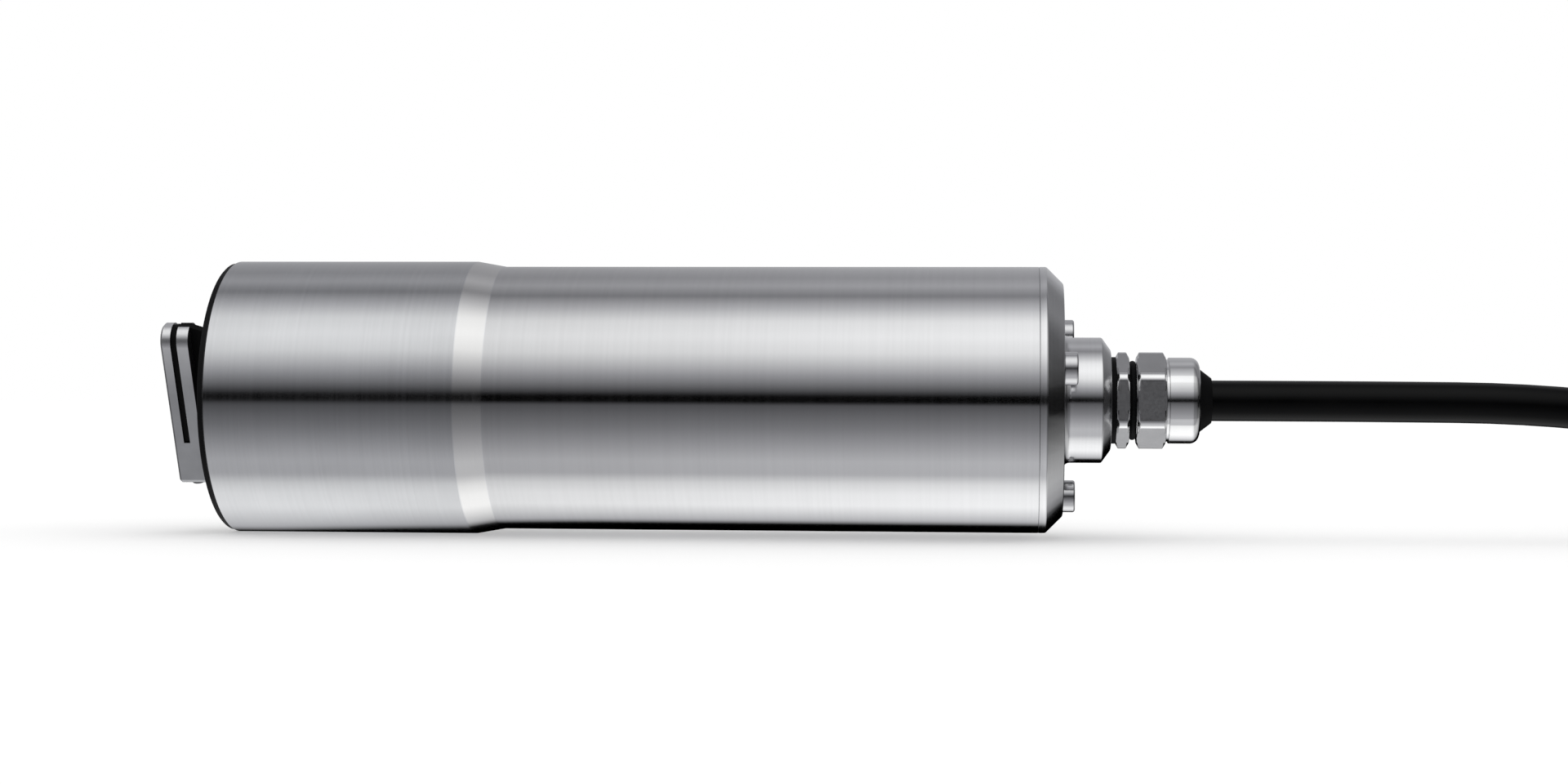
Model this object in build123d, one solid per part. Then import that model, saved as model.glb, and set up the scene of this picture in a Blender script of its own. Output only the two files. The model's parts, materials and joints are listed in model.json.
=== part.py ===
from build123d import *
import math
import os

# Submersible water quality probe, lying on its side with its cable put away.
# Millimetres. +X runs from the wiper to the cable, +Z is up, and z = 0 is the surface it lies on.

# Steel head, cone band and tube
HEAD_R = 30.0
HEAD_LENGTH = 53.6
HEAD_WALL = 3.1
CONE_LENGTH = 6.2
TUBE_R = 28.9
TUBE_WALL = 2.0
TUBE_LENGTH = 116.9
SPIGOT_LENGTH = 12.0
SPIGOT_WALL = 2.15
FIT = 0.05
EDGE_BREAK = 0.3

# Black front disc that carries the optics
DISC_STEP = 0.4
DISC_THICK = 1.2
CARRIER_DEPTH = 15.0

# O-rings
RING_SECTION = 1.6
RING_FROM_END = 4.0

# Rear cap, collar and cap screws
CAP_RIM = 1.6
CAP_CHAMFER = 3.7
CAP_SPIGOT = 11.0
COLLAR_R = 13.6
COLLAR_LENGTH = 10.3
CAP_PLATE = 2.0
CAP_WELL_WALL = 6.0
COLLAR_FILLET = 1.6
COLLAR_CHAMFER = 2.0
COLLAR_CHAMFER_RADIAL = 2.8
SCREW_FROM_BORE = 3.2
SCREW_COUNT = 3
SCREW_FIRST_DEG = 41.9
SCREW_HEAD_R = 3.5
SCREW_HEAD = 2.8
SCREW_R = 2.0
SCREW_CLEAR = 0.2
SCREW_EDGE = 0.3
SCREW_DEPTH = 12.0
SCREW_HEX = 2.5
SCREW_HEX_DEPTH = 1.5

# Cable gland
GLAND_GASKET = 1.0
GLAND_GASKET_R = 9.4
GLAND_HEX = 18.6
GLAND_HEX_THICK = 2.9
GLAND_NECK = 1.6
GLAND_NECK_R = 7.8
GLAND_STEM_R = 7.5
GLAND_STEM = 9.0
GLAND_THREAD_DROP = 0.6
GLAND_BORE_CLEAR = 1.2
NUT_HEX_LENGTH = 6.3
NUT_GROOVE = 0.5
NUT_GROOVE_R = 8.9
DOME_LENGTH = 6.7
DOME_R = 9.3
DOME_ROUND = 2.0
DOME_MOUTH_R = 6.9
SEAL_LENGTH = 2.6
SEAL_TIP_R = 4.9
SEAL_START = 1.0
HEX_CHAMFER = 0.8
HEX_TURNED_LEAST = 0.1

# Wiper
ARM_PLATE = 2.3
ARM_GAP = 1.4
ARM_RAIL = 2.5
ARM_WIDTH = 8.0
ARM_REACH = 27.8
ARM_ROOT = 5.4
ARM_SOLID = 4.8
ARM_SLIT = 2.2
ARM_EDGE = 0.5
HUB_R = 3.9
BLADE_STANDOFF = 6.3
BLADE_FREE = 0.3
BLADE_INSET = 0.35
BLADE_TIP_CUT = 2.0
BLADE_TAPER_FROM = 0.45
BLADE_LIP_SHARE = 0.45
PIVOT_FROM_SCREW_CIRCLE = 8.5
WIPER_PARK_DEG = 25.4
AXLE_R = 3.0
AXLE_SKIN = 1.4
AXLE_CLEAR = 0.5
ROOT_ROUND = 1.2
CLAMP_SCREW_R = 1.5
CLAMP_SCREW_PROUD = 1.3
CLAMP_SCREW_HEX = 1.5

# Axle seal, bush, coupling and drive
RUNNING = 0.03
SEAL_R = 5.5
LIP_SEAL_THICK = 3.5
BUSH_R = 5.0
BUSH_LENGTH = 9.0
COUPLING_R = 4.5
COUPLING_LENGTH = 12.0
COUPLING_GAP = 0.5
MOTOR_SHAFT_R = 1.5
MOTOR_SHAFT = 9.0
GEARBOX_R = 6.0
GEARBOX_LENGTH = 16.0
MOTOR_R = 5.8
MOTOR_LENGTH = 22.0
MOTOR_ROUND = 1.0
MOTOR_BOSS = 1.5
MOTOR_BOSS_R = 2.0

# Optics behind the disc
WINDOW_THICK = 2.5
LIGHT_WELL_LIP = 1.0
WINDOW_EDGE = 0.2
LAMP_R = 2.5
LAMP_CLEAR = 0.3
LAMP_LENGTH = 8.0
LAMP_ROUND = 0.8
LAMP_FLANGE = 1.2
LAMP_FLANGE_STEP = 0.4
OPTICS_BOARD_CLEAR = 1.7
ROD_CLEAR = 0.3
OPTICS_BOARD_GAP = 3.0
BOARD_THICK = 1.6
OPTICS_BOARD_DROP = 5.0
PILLAR_R = 2.4
PILLAR_BORE_R = 1.1
PILLAR_PLACES = [(-8.0, 17.0), (-14.0, -1.0), (18.0, -1.0)]

# Frame inside the tube
ROD_R = 2.8
ROD_END_GAP = 0.5
BULKHEAD_CLEAR = 0.5
SHAFT_HOLE_CLEAR = 1.0
BULKHEAD_THICK = 3.0
BULKHEAD_SPACING = 100.0
MOTOR_WINDOW_WIDTH = 16.0
MOTOR_WINDOW_HEIGHT = 9.0
MOTOR_WINDOW_RISE = 13.0
REAR_WINDOW_WIDTH = 20.0
REAR_WINDOW_MARGIN = 5.7
LOWER_WINDOW_WIDTH = 18.0
LOWER_WINDOW_HEIGHT = 10.0
LOWER_WINDOW_DROP = 10.0
MAIN_BOARD_WIDTH = 34.0
MAIN_BOARD_LENGTH = 104.0
CABLE_JACKET_INSIDE = 24.0
LOOM_R = 2.4
LOOM_RISE = 4.0
TERMINAL_LONG = 9.0
TERMINAL_WIDE = 18.0
TERMINAL_HIGH = 8.0
TERMINAL_FROM_END = 17.0
TERMINAL_COUNT = 5
TERMINAL_PITCH = 3.4
TERMINAL_HOLE_R = 1.2
TERMINAL_HOLE_FROM_AXIS = 1.5
TERMINAL_HOLE_FLOOR = 5.5

# Components on the main board: distance before the terminals, place across, then their own sizes
CHIP_HEIGHT = 1.6
CHIPS = [(68.0, -6.0, 10.0, 10.0), (50.0, 7.0, 8.0, 6.0), (34.0, -8.0, 7.0, 7.0), (18.0, 8.0, 12.0, 8.0)]
CAPACITORS = [(52.0, -10.0, 3.2, 7.5), (43.0, -10.0, 3.2, 7.5), (14.0, -9.0, 4.0, 9.0)]
COIL_PLACE = (30.0, 8.0)
COIL_WIDTH = 9.0
COIL_HEIGHT = 5.0

# Cable, hank and ties
CABLE_R = 4.5
HANK_NEAR_X = 312.0
HANK_STRAIGHT = 156.0
HANK_LANES = 3
HANK_LAYERS = 6
HANK_INNER_BEND_R = 27.0
TIE_THICK = 1.2
TIE_WIDTH = 16.0
TIE_FROM_BEND = 18.0
TIE_COUNT = 2
TIE_CORNER_R = 4.0
TIE_INNER_CORNER_R = 3.0

# Plug
PLUG_Y = 36.0
PLUG_BOOT = 20.0
PLUG_BOOT_R = 5.4
PLUG_BOOT_STEP = 0.4
BOOT_GROOVES = 4
BOOT_GROOVE_FROM = 3.0
BOOT_GROOVE_PITCH = 4.0
BOOT_GROOVE_WIDTH = 1.4
BOOT_GROOVE_DEPTH = 0.2
BOOT_GROOVE_RISE = 0.22
PLUG_SHELL = 24.0
PLUG_SHELL_R = 7.0
PLUG_SHELL_ROUND = 0.8
GRIP_GROOVES = 6
GRIP_GROOVE_FROM = 5.0
GRIP_GROOVE_PITCH = 2.4
GRIP_GROOVE_WIDTH = 1.0
GRIP_GROOVE_DEPTH = 0.4
PLUG_NECK_R = 4.8
PLUG_RING_R = 7.5
PLUG_RING_LENGTH = 13.0
PLUG_RING_WEB = 3.0
PLUG_RING_BORE_R = 5.4
PLUG_RING_FREE = 0.3
PLUG_INSERT_R = 4.1
PLUG_INSERT_FLANGE_R = 5.15
PLUG_INSERT_FLANGE = 1.0
PLUG_NOSE = 3.5
PLUG_PIN_R = 0.5
PLUG_PIN_LENGTH = 4.5
PLUG_PIN_CIRCLE_R = 2.75
PLUG_PIN_COUNT = 7
KNURL_COUNT = 24
KNURL_DEPTH = 0.35
KNURL_FROM = 1.5
KNURL_TO_END = 2.0
PLUG_RING_EDGE = 0.5

# How far a cutting tool runs past the face that it opens
PAST = 1.0

ARM_THICK = ARM_PLATE + ARM_GAP + ARM_RAIL
BODY_LENGTH = DISC_THICK + HEAD_LENGTH + CONE_LENGTH + TUBE_LENGTH + CAP_RIM + CAP_CHAMFER
GLAND_LENGTH = (
    COLLAR_LENGTH + GLAND_GASKET + GLAND_HEX_THICK + GLAND_NECK
    + NUT_HEX_LENGTH + NUT_GROOVE + DOME_LENGTH + SEAL_LENGTH
)
OVERALL = ARM_THICK + BLADE_STANDOFF + BODY_LENGTH + GLAND_LENGTH

# Stations along the axis, from the wiper to the cable
ARM_X = -OVERALL / 2
RAIL_X = ARM_X + ARM_THICK
FACE_X = RAIL_X + BLADE_STANDOFF
STEEL_X = FACE_X + DISC_THICK
CONE_X = STEEL_X + HEAD_LENGTH
TUBE_X = CONE_X + CONE_LENGTH
CAP_X = TUBE_X + TUBE_LENGTH
REAR_X = CAP_X + CAP_RIM + CAP_CHAMFER
COLLAR_X = REAR_X + COLLAR_LENGTH
HEX_X = COLLAR_X + GLAND_GASKET
NECK_X = HEX_X + GLAND_HEX_THICK
NUT_X = NECK_X + GLAND_NECK
GROOVE_X = NUT_X + NUT_HEX_LENGTH
DOME_X = GROOVE_X + NUT_GROOVE
SEAL_X = DOME_X + DOME_LENGTH
EXIT_X = SEAL_X + SEAL_LENGTH
CARRIER_X = FACE_X + DISC_THICK + CARRIER_DEPTH
CAP_INSIDE_X = CAP_X - CAP_SPIGOT
TUBE_BORE_R = TUBE_R - TUBE_WALL
HEAD_BORE_R = HEAD_R - HEAD_WALL
SPIGOT_BORE_R = TUBE_BORE_R - FIT - SPIGOT_WALL
DISC_R = HEAD_R - DISC_STEP
INNER_R = min(HEAD_BORE_R, SPIGOT_BORE_R)
SCREW_CIRCLE_R = INNER_R - SCREW_FROM_BORE
PIVOT_DROP = SCREW_CIRCLE_R - PIVOT_FROM_SCREW_CIRCLE
BULKHEAD_R = INNER_R - BULKHEAD_CLEAR
OPTICS_BOARD_R = INNER_R - OPTICS_BOARD_CLEAR
AXIS_Z = HEAD_R
PIVOT_Z = AXIS_Z - PIVOT_DROP

# Windows: reach from the wiper's pivot, swing from its parked place, and radius
EMITTER_WINDOW = (18.0, 30.0, 4.0)
SIDE_WINDOW = (18.0, 62.0, 3.0)
BACK_WINDOW = (26.0, 46.0, 3.0)
WINDOWS = {"emitter": EMITTER_WINDOW, "side_detector": SIDE_WINDOW, "back_detector": BACK_WINDOW}


def save(name, *solids):
    shape = solids[0] if len(solids) == 1 else Compound(children=list(solids))
    shape.label = name
    export_step(shape, f"parts/{name}.step")


def along_x(x, y=0.0, z=AXIS_Z):
    """A plane at x whose normal runs along +X and whose own X is the row's +Y."""
    return Plane(origin=(x, y, z), x_dir=(0, 1, 0), z_dir=(1, 0, 0))


def rod(x0, x1, radius, y=0.0, z=AXIS_Z):
    return extrude(along_x(x0, y, z) * Circle(radius), x1 - x0)


def ring(x0, x1, outer, inner, y=0.0, z=AXIS_Z):
    return extrude(along_x(x0, y, z) * (Circle(outer) - Circle(inner)), x1 - x0)


def turned(points, y=0.0, z=AXIS_Z):
    """A turned form about an axis along X, from a closed outline of (x, radius) points."""
    outline = Polyline(*[(x, y, z + r) for x, r in points], close=True)
    return revolve(make_face(outline), Axis((0, y, z), (1, 0, 0)), 360)


def hexagon(x0, x1, across_flats):
    """A hexagonal bar with two corners straight up and down."""
    corner_r = across_flats / math.sqrt(3)
    return extrude(along_x(x0) * RegularPolygon(corner_r, 6, rotation=90), x1 - x0)


def turned_hexagon(x0, x1, across_flats, chamfer):
    """A hexagonal bar whose corners are turned down at both ends."""
    corner_r = across_flats / math.sqrt(3)
    drop = chamfer / math.tan(math.radians(30))
    low = across_flats / 2 - HEX_TURNED_LEAST
    drop = min(drop, corner_r - low)
    outline = [(x0, 0), (x0, corner_r - drop), (x0 + chamfer, corner_r), (x1 - chamfer, corner_r)]
    outline += [(x1, corner_r - drop), (x1, 0)]
    return hexagon(x0, x1, across_flats) & turned(outline)


def o_ring(x, outer_r):
    """A ring of round section that seals against a bore of radius outer_r."""
    section_r = RING_SECTION / 2
    middle_r = outer_r - RUNNING - section_r
    centre = Plane(origin=(x, 0, AXIS_Z + middle_r), x_dir=(1, 0, 0), z_dir=(0, 1, 0))
    return revolve(centre * Circle(section_r), Axis((0, 0, AXIS_Z), (1, 0, 0)), 360)


def ring_groove(x, outer_r):
    depth = RING_SECTION + FIT
    half = RING_SECTION * 0.65
    return ring(x - half, x + half, outer_r + PAST, outer_r - depth)


def on_screw_circle(index):
    turn = math.radians(SCREW_FIRST_DEG + index * 360.0 / SCREW_COUNT)
    return SCREW_CIRCLE_R * math.cos(turn), AXIS_Z + SCREW_CIRCLE_R * math.sin(turn)


def window_place(reach, swing_deg):
    """Where a window lies on the face, from its reach and swing about the wiper's pivot."""
    lean = math.radians(WIPER_PARK_DEG - swing_deg)
    return -reach * math.sin(lean), PIVOT_Z + reach * math.cos(lean)


# Steel shell


def optics_head():
    spigot_end = TUBE_X + SPIGOT_LENGTH
    outline = [
        (STEEL_X, HEAD_BORE_R),
        (STEEL_X, HEAD_R - EDGE_BREAK),
        (STEEL_X + EDGE_BREAK, HEAD_R),
        (CONE_X, HEAD_R),
        (TUBE_X, TUBE_R),
        (TUBE_X, TUBE_BORE_R - FIT),
        (spigot_end, TUBE_BORE_R - FIT),
        (spigot_end, SPIGOT_BORE_R),
        (CONE_X - CONE_LENGTH, SPIGOT_BORE_R),
        (CONE_X - CONE_LENGTH - (HEAD_BORE_R - SPIGOT_BORE_R), HEAD_BORE_R),
    ]
    groove_x = spigot_end - RING_FROM_END
    return turned(outline) - ring_groove(groove_x, TUBE_BORE_R)


def housing_tube():
    return ring(TUBE_X, CAP_X, TUBE_R, TUBE_BORE_R)


def rear_cap():
    chamfer_x = CAP_X + CAP_RIM
    foot_r = COLLAR_R + COLLAR_FILLET
    disc = turned(
        [
            (CAP_INSIDE_X, 0),
            (CAP_INSIDE_X, TUBE_BORE_R - FIT),
            (CAP_X, TUBE_BORE_R - FIT),
            (CAP_X, TUBE_R),
            (chamfer_x, TUBE_R),
            (REAR_X, TUBE_R - CAP_CHAMFER),
            (REAR_X, 0),
        ]
    )
    well = rod(CAP_INSIDE_X, CAP_X - CAP_PLATE, INNER_R - CAP_WELL_WALL)
    collar = turned(
        [
            (CAP_X, 0),
            (CAP_X, COLLAR_R),
            (COLLAR_X - COLLAR_CHAMFER, COLLAR_R),
            (COLLAR_X, COLLAR_R - COLLAR_CHAMFER_RADIAL),
            (COLLAR_X, 0),
        ]
    )
    foot = rod(REAR_X, REAR_X + COLLAR_FILLET, foot_r)
    centre = Plane(origin=(REAR_X + COLLAR_FILLET, 0, AXIS_Z + foot_r), x_dir=(1, 0, 0), z_dir=(0, 1, 0))
    scoop = revolve(centre * Circle(COLLAR_FILLET), Axis((0, 0, AXIS_Z), (1, 0, 0)), 360)
    cap = (disc - well) + collar + (foot - scoop)
    cap -= rod(CAP_X - CAP_PLATE - PAST, COLLAR_X + PAST, GLAND_STEM_R + FIT)
    for index in range(SCREW_COUNT):
        y, z = on_screw_circle(index)
        cap -= rod(CAP_INSIDE_X - PAST, REAR_X + PAST, SCREW_R + SCREW_CLEAR, y, z)
    return cap - ring_groove(CAP_INSIDE_X + RING_FROM_END, TUBE_BORE_R)


def cap_screw(index):
    y, z = on_screw_circle(index)
    head = rod(REAR_X, REAR_X + SCREW_HEAD, SCREW_HEAD_R, y, z)
    head = chamfer(head.faces().sort_by(Axis.X)[-1].edges(), SCREW_EDGE)
    socket_plane = along_x(REAR_X + SCREW_HEAD - SCREW_HEX_DEPTH, y, z)
    socket = extrude(socket_plane * RegularPolygon(SCREW_HEX / math.sqrt(3), 6), SCREW_HEX_DEPTH)
    shank = rod(CAP_INSIDE_X - SCREW_DEPTH, REAR_X, SCREW_R, y, z)
    return (head - socket) + shank


# Front disc and optics


def optics_carrier():
    body = turned(
        [
            (FACE_X, 0),
            (FACE_X, DISC_R - EDGE_BREAK),
            (FACE_X + EDGE_BREAK, DISC_R),
            (STEEL_X, DISC_R),
            (STEEL_X, HEAD_BORE_R - FIT),
            (CARRIER_X, HEAD_BORE_R - FIT),
            (CARRIER_X, 0),
        ]
    )
    body -= ring_groove(STEEL_X + CARRIER_DEPTH / 2, HEAD_BORE_R)
    for reach, swing, radius in WINDOWS.values():
        y, z = window_place(reach, swing)
        body -= rod(FACE_X - PAST, FACE_X + WINDOW_THICK, radius + FIT, y, z)
        body -= rod(FACE_X, CARRIER_X + PAST, radius - LIGHT_WELL_LIP, y, z)
    body -= rod(FACE_X - PAST, FACE_X + LIP_SEAL_THICK, SEAL_R + FIT, 0, PIVOT_Z)
    body -= rod(FACE_X, FACE_X + LIP_SEAL_THICK + BUSH_LENGTH, BUSH_R + FIT, 0, PIVOT_Z)
    body -= rod(FACE_X, CARRIER_X + PAST, AXLE_R + AXLE_CLEAR, 0, PIVOT_Z)
    for index in range(SCREW_COUNT):
        y, z = on_screw_circle(index)
        body -= rod(CARRIER_X - SCREW_DEPTH / 2, CARRIER_X + PAST, SCREW_R + FIT, y, z)
    return body


def window(reach, swing, radius):
    y, z = window_place(reach, swing)
    glass = rod(FACE_X, FACE_X + WINDOW_THICK, radius, y, z)
    return chamfer(glass.faces().sort_by(Axis.X)[0].edges(), WINDOW_EDGE)


def light_element(reach, swing, radius):
    """A lensed emitter or detector that stands in its well from the board."""
    y, z = window_place(reach, swing)
    board_x = CARRIER_X + OPTICS_BOARD_GAP
    tip_r = min(LAMP_R, radius - LIGHT_WELL_LIP - LAMP_CLEAR)
    flange = rod(board_x - LAMP_FLANGE, board_x, tip_r + LAMP_FLANGE_STEP, y, z)
    barrel = rod(board_x - LAMP_LENGTH, board_x - LAMP_FLANGE, tip_r, y, z)
    return flange + fillet(barrel.faces().sort_by(Axis.X)[0].edges(), tip_r * LAMP_ROUND)


def optics_board():
    board_x = CARRIER_X + OPTICS_BOARD_GAP
    disc = rod(board_x, board_x + BOARD_THICK, OPTICS_BOARD_R)
    floor = AXIS_Z - OPTICS_BOARD_DROP
    keep = Pos(board_x, 0, floor) * Box(
        BOARD_THICK * 4, HEAD_R * 2, HEAD_R * 2, align=(Align.CENTER, Align.CENTER, Align.MIN)
    )
    board = disc & keep
    for index in range(SCREW_COUNT):
        y, z = on_screw_circle(index)
        board -= rod(board_x - PAST, board_x + BOARD_THICK + PAST, ROD_R + ROD_CLEAR, y, z)
    return board


def board_pillars():
    """Three short pillars that hold the optics board off the carrier."""
    board_x = CARRIER_X + OPTICS_BOARD_GAP
    return [ring(CARRIER_X, board_x, PILLAR_R, PILLAR_BORE_R, y, AXIS_Z + rise) for y, rise in PILLAR_PLACES]


# Wiper


def in_arm(solid):
    """Turns a piece that is drawn upright over the pivot to the wiper's parked lean."""
    return solid.rotate(Axis((0, 0, PIVOT_Z), (1, 0, 0)), WIPER_PARK_DEG)


def arm_outline(inset=0.0, from_u=-ARM_ROOT):
    """The arm seen from the front: square at its root, round at its tip."""
    half = ARM_WIDTH / 2 - inset
    left = [(-half, from_u), (-half, ARM_REACH)]
    right = [(half, ARM_REACH), (half, from_u)]
    tip = ThreePointArc(left[1], (0, ARM_REACH + half), right[0])
    return make_face(Line(left[0], left[1]) + tip + Line(right[0], right[1]) + Line(right[1], left[0]))


def wiper_arm():
    """A cast arm with a channel open at its tip and sides and a slit down its inner rail."""
    plane = along_x(ARM_X, 0, PIVOT_Z)
    body = extrude(plane * arm_outline(), ARM_THICK)
    root_edges = body.edges().filter_by(Axis.X).group_by(Axis.Z)[0]
    body = fillet(root_edges, ROOT_ROUND)
    body = chamfer(body.faces().sort_by(Axis.X)[0].edges(), ARM_EDGE)
    gap_length = ARM_REACH + ARM_WIDTH
    from_bottom = (Align.MIN, Align.CENTER, Align.MIN)
    gap = Pos(ARM_X + ARM_PLATE, 0, PIVOT_Z + ARM_SOLID) * Box(
        ARM_GAP, ARM_WIDTH * 2, gap_length, align=from_bottom
    )
    slit = Pos(ARM_X + ARM_PLATE, 0, PIVOT_Z + ARM_SOLID) * Box(
        ARM_THICK, ARM_SLIT, gap_length, align=from_bottom
    )
    hub = rod(RAIL_X, FACE_X - BLADE_FREE, HUB_R, 0, PIVOT_Z)
    body = body - gap - slit + hub
    body -= rod(ARM_X + AXLE_SKIN, FACE_X, AXLE_R + FIT, 0, PIVOT_Z)
    screw_hole = Pos(clamp_screw_x(), 0, PIVOT_Z - ARM_WIDTH) * Cylinder(
        CLAMP_SCREW_R + FIT, ARM_WIDTH, align=(Align.CENTER, Align.CENTER, Align.MIN)
    )
    return in_arm(body - screw_hole)


def clamp_screw_x():
    return ARM_X + ARM_THICK / 2


def wiper_blade():
    """A rubber strip of T section: its flange fills the channel, its web wipes the face."""
    start = ARM_SOLID + BLADE_INSET
    flange_plane = along_x(ARM_X + ARM_PLATE + FIT, 0, PIVOT_Z)
    flange = extrude(flange_plane * arm_outline(BLADE_INSET, start), ARM_GAP - 2 * FIT)
    web_x = ARM_X + ARM_PLATE + ARM_GAP / 2
    lip_x = FACE_X - BLADE_FREE
    top = PIVOT_Z + ARM_REACH + ARM_WIDTH / 2 - BLADE_INSET
    low = PIVOT_Z + start
    side = Polyline(
        (web_x, 0, low), (web_x, 0, top), (RAIL_X, 0, top),
        (lip_x, 0, top - BLADE_TIP_CUT), (lip_x, 0, low), close=True,
    )
    half = ARM_SLIT / 2 - FIT
    web = extrude(make_face(side), half, dir=(0, 1, 0), both=True)
    lip_half = half * BLADE_LIP_SHARE
    taper_from = RAIL_X + BLADE_STANDOFF * BLADE_TAPER_FROM
    section = Polyline(
        (web_x, -half, low), (taper_from, -half, low), (lip_x, -lip_half, low),
        (lip_x, lip_half, low), (taper_from, half, low), (web_x, half, low), close=True,
    )
    web &= extrude(make_face(section), top - low, dir=(0, 0, 1))
    return in_arm(flange + web)


def wiper_clamp_screw():
    """A small cap screw in the arm's root end that grips the axle."""
    bottom = PIVOT_Z - ARM_ROOT - CLAMP_SCREW_PROUD
    length = PIVOT_Z - AXLE_R - bottom
    shank = Pos(clamp_screw_x(), 0, bottom) * Cylinder(
        CLAMP_SCREW_R, length, align=(Align.CENTER, Align.CENTER, Align.MIN)
    )
    socket = Pos(clamp_screw_x(), 0, bottom) * extrude(
        RegularPolygon(CLAMP_SCREW_HEX / math.sqrt(3), 6), CLAMP_SCREW_PROUD
    )
    return in_arm(shank - socket)


def axle_rear_x():
    return CARRIER_X + OPTICS_BOARD_GAP


def wiper_axle():
    body = rod(ARM_X + AXLE_SKIN + FIT, axle_rear_x(), AXLE_R, 0, PIVOT_Z)
    return chamfer(body.edges().filter_by(GeomType.CIRCLE), EDGE_BREAK)


def axle_lip_seal():
    return ring(FACE_X, FACE_X + LIP_SEAL_THICK, SEAL_R, AXLE_R + RUNNING, 0, PIVOT_Z)


def axle_bush():
    start = FACE_X + LIP_SEAL_THICK
    return ring(start, start + BUSH_LENGTH, BUSH_R, AXLE_R + RUNNING, 0, PIVOT_Z)


def shaft_coupling():
    start = CARRIER_X + COUPLING_GAP
    end = start + COUPLING_LENGTH
    body = rod(start, end, COUPLING_R, 0, PIVOT_Z)
    body -= rod(start - PAST, axle_rear_x() + FIT, AXLE_R + FIT, 0, PIVOT_Z)
    body -= rod(start, end + PAST, MOTOR_SHAFT_R + FIT, 0, PIVOT_Z)
    return body


def gearbox_front_x():
    return CARRIER_X + 2 * COUPLING_GAP + COUPLING_LENGTH + BULKHEAD_THICK


def motor_shaft():
    end = gearbox_front_x() - FIT
    return rod(end - MOTOR_SHAFT, end, MOTOR_SHAFT_R, 0, PIVOT_Z)


def gearmotor():
    start = gearbox_front_x()
    box_end = start + GEARBOX_LENGTH
    gearbox = rod(start, box_end, GEARBOX_R, 0, PIVOT_Z)
    motor = rod(box_end, box_end + MOTOR_LENGTH, MOTOR_R, 0, PIVOT_Z)
    motor = fillet(motor.faces().sort_by(Axis.X)[-1].edges(), MOTOR_ROUND)
    boss = rod(box_end, box_end + MOTOR_LENGTH + MOTOR_BOSS, MOTOR_BOSS_R, 0, PIVOT_Z)
    return gearbox + motor + boss


# Frame, boards and wiring inside the tube


def tie_rod(index):
    y, z = on_screw_circle(index)
    body = rod(CARRIER_X, CAP_INSIDE_X, ROD_R, y, z)
    body += rod(CARRIER_X - SCREW_DEPTH / 2 + ROD_END_GAP, CARRIER_X, SCREW_R, y, z)
    return body - rod(CAP_INSIDE_X - SCREW_DEPTH - PAST, CAP_INSIDE_X + PAST, SCREW_R + FIT, y, z)


def bulkhead(x):
    plate = rod(x, x + BULKHEAD_THICK, BULKHEAD_R)
    for index in range(SCREW_COUNT):
        y, z = on_screw_circle(index)
        plate -= rod(x - PAST, x + BULKHEAD_THICK + PAST, ROD_R + FIT, y, z)
    return plate


def board_slot(x):
    return Pos(x, 0, AXIS_Z) * Box(
        BULKHEAD_THICK * 3, MAIN_BOARD_WIDTH + 2 * FIT, BOARD_THICK + 2 * FIT
    )


def front_bulkhead_x():
    return gearbox_front_x() - BULKHEAD_THICK


def motor_bulkhead():
    x = front_bulkhead_x()
    shaft_r = MOTOR_SHAFT_R + SHAFT_HOLE_CLEAR
    plate = bulkhead(x) - rod(x - PAST, x + BULKHEAD_THICK + PAST, shaft_r, 0, PIVOT_Z)
    window = Pos(x, 0, AXIS_Z + MOTOR_WINDOW_RISE) * Box(
        BULKHEAD_THICK * 3, MOTOR_WINDOW_WIDTH, MOTOR_WINDOW_HEIGHT
    )
    return plate - window - board_slot(x)


def rear_bulkhead():
    x = front_bulkhead_x() + BULKHEAD_SPACING
    window = Pos(x, 0, AXIS_Z) * Box(
        BULKHEAD_THICK * 3, REAR_WINDOW_WIDTH, BULKHEAD_R - REAR_WINDOW_MARGIN,
        align=(Align.CENTER, Align.CENTER, Align.MIN),
    )
    lower = Pos(x, 0, AXIS_Z - LOWER_WINDOW_DROP) * Box(
        BULKHEAD_THICK * 3, LOWER_WINDOW_WIDTH, LOWER_WINDOW_HEIGHT
    )
    return bulkhead(x) - window - lower - board_slot(x)


def main_board():
    return Pos(front_bulkhead_x(), 0, AXIS_Z) * Box(
        MAIN_BOARD_LENGTH, MAIN_BOARD_WIDTH, BOARD_THICK, align=(Align.MIN, Align.CENTER, Align.CENTER)
    )


def board_parts():
    """The larger components on the main board: chips, capacitors and a coil."""
    top = AXIS_Z + BOARD_THICK / 2
    on_board = (Align.CENTER, Align.CENTER, Align.MIN)
    parts = []
    for before, y, long, wide in CHIPS:
        parts.append(Pos(terminal_x() - before, y, top) * Box(long, wide, CHIP_HEIGHT, align=on_board))
    for before, y, radius, height in CAPACITORS:
        parts.append(Pos(terminal_x() - before, y, top) * Cylinder(radius, height, align=on_board))
    before, coil_y = COIL_PLACE
    coil = Box(COIL_WIDTH, COIL_WIDTH, COIL_HEIGHT, align=on_board)
    return parts + [Pos(terminal_x() - before, coil_y, top) * coil]


def terminal_x():
    return front_bulkhead_x() + MAIN_BOARD_LENGTH - TERMINAL_FROM_END


def terminal_block():
    top = AXIS_Z + BOARD_THICK / 2
    upward = (Align.CENTER, Align.CENTER, Align.MIN)
    block = Pos(terminal_x(), 0, top) * Box(TERMINAL_LONG, TERMINAL_WIDE, TERMINAL_HIGH, align=upward)
    hole_x = terminal_x() - TERMINAL_HOLE_FROM_AXIS
    for index in range(TERMINAL_COUNT):
        y = (index - (TERMINAL_COUNT - 1) / 2) * TERMINAL_PITCH
        hole = Cylinder(TERMINAL_HOLE_R, TERMINAL_HIGH, align=upward)
        block -= Pos(hole_x, y, top + TERMINAL_HOLE_FLOOR) * hole
    return block


def jacket_end_x():
    return CAP_X - CABLE_JACKET_INSIDE + CAP_SPIGOT


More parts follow.
